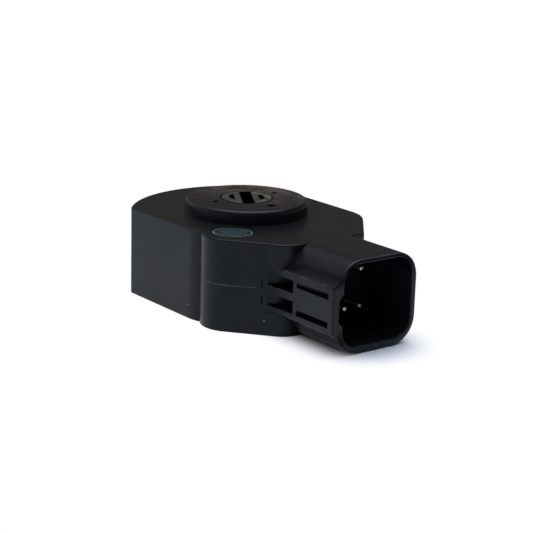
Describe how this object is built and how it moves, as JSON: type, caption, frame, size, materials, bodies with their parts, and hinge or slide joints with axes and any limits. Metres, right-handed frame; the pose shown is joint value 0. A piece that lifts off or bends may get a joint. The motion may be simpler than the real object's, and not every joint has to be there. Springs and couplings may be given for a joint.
{
  "type": "throttle position sensor",
  "caption": "Rotary throttle position sensor: black moulded housing with pilot flange, slotted sprung rotor, sleeved adjustment slots and a pin connector with a latch guard.",
  "frame": {"origin": "on the rotor axis, in the plane of the rear face that the sensor lies on", "axes": "+Z along the rotor axis towards the drive end, +X along the connector towards its mouth"},
  "size_m": [0.0776, 0.0451, 0.0255],
  "materials": {
    "housing_plastic": "moulded, fine satin",
    "cover_plastic": "moulded, satin",
    "rotor_plastic": "moulded, satin",
    "zinc_plated_steel": "zinc plated",
    "spring_steel": "drawn",
    "pin_brass": "plated, polished",
    "contact_bronze": "stamped",
    "board_laminate": "laminate",
    "seal_rubber": "moulded"
  },
  "bodies": {
    "housing": {"housing": "housing_plastic", "back_cover": "cover_plastic", "cover_seal": "seal_rubber", "element_board": "board_laminate", "mount_sleeve_front": "zinc_plated_steel", "mount_sleeve_rear": "zinc_plated_steel", "thrust_washer": "spring_steel", "return_spring": "spring_steel", "terminal_1": "pin_brass", "terminal_2": "pin_brass", "terminal_3": "pin_brass", "terminal_4": "pin_brass", "terminal_5": "pin_brass", "terminal_6": "pin_brass"},
    "rotor": {"rotor": "rotor_plastic", "shaft_seal": "seal_rubber", "pot_wiper": "contact_bronze", "switch_wiper": "contact_bronze"}
  },
  "joints": [
    {"name": "rotor_turn", "type": "hinge", "parent": "housing", "child": "rotor", "pos_m": [0, 0, 0.02195], "axis": [0, 0, 1], "range_deg": [0, 95], "stiffness_Nm_per_rad": 0.012, "springref_deg": -34.38, "deforming": ["return_spring"]}
  ]
}
